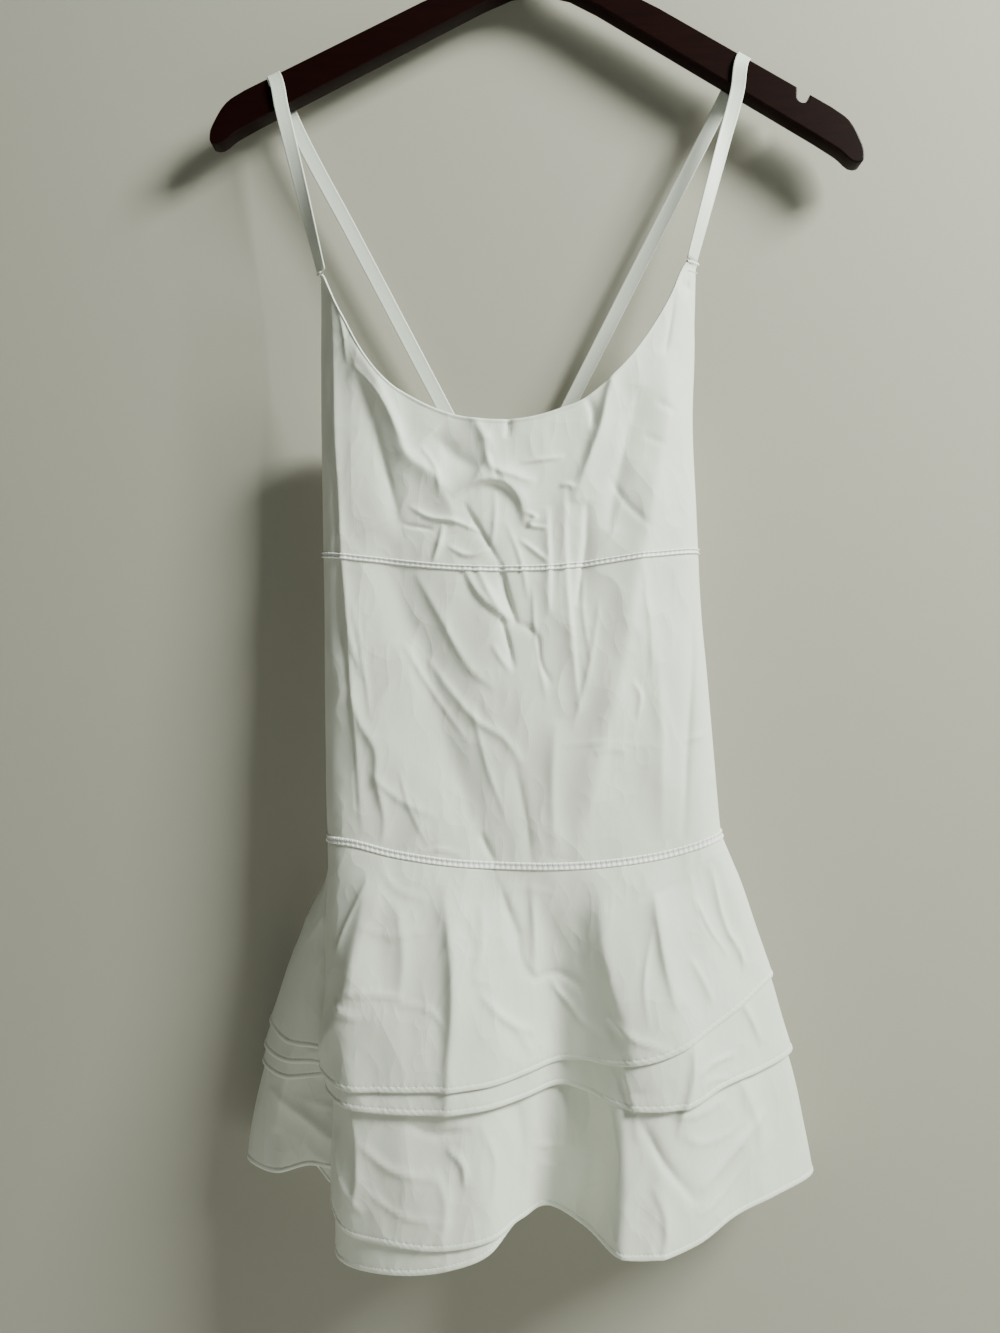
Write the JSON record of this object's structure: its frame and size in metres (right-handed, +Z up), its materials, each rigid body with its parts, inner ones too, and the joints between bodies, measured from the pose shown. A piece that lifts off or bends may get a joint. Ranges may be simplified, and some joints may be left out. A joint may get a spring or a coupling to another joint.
{
  "type": "tennis dress on a wooden hanger",
  "caption": "Sleeveless strappy tennis dress with a scooped neck and layered flounces, hung by thin straps from a flat notched wooden hanger with a wire hook.",
  "frame": {"origin": "where a rail carries the hook: the lowest point of the hook's inner side at its top", "axes": "+Z up, the front of the dress faces -Y, +X to the viewer's right as the front is seen"},
  "size_m": [0.4428, 0.1186, 0.9741],
  "materials": {
    "dress_cloth": "smooth white knitted nylon, soft satin sheen",
    "stitched_band": "stitched-down white seam band",
    "satin_ribbon": "glossy white satin ribbon",
    "lacquered_wood": "dark mahogany stain under gloss lacquer",
    "hook_chrome": "polished chrome plate"
  },
  "bodies": {
    "root": {"bodice_front_upper": "dress_cloth", "bodice_back_upper": "dress_cloth", "bodice_front_lower": "dress_cloth", "bodice_back_lower": "dress_cloth", "top_flounce_front": "dress_cloth", "top_flounce_back": "dress_cloth", "middle_flounce_front": "dress_cloth", "middle_flounce_back": "dress_cloth", "middle_under_flounce_front": "dress_cloth", "middle_under_flounce_back": "dress_cloth", "bottom_flounce_front": "dress_cloth", "bottom_flounce_back": "dress_cloth", "bottom_under_flounce_front": "dress_cloth", "bottom_under_flounce_back": "dress_cloth", "underbust_band_front": "stitched_band", "underbust_band_back": "stitched_band", "hip_band_front": "stitched_band", "hip_band_back": "stitched_band", "strap_left": "satin_ribbon", "strap_right": "satin_ribbon", "hanger_body": "lacquered_wood", "hanger_hook": "hook_chrome"}
  },
  "joints": []
}
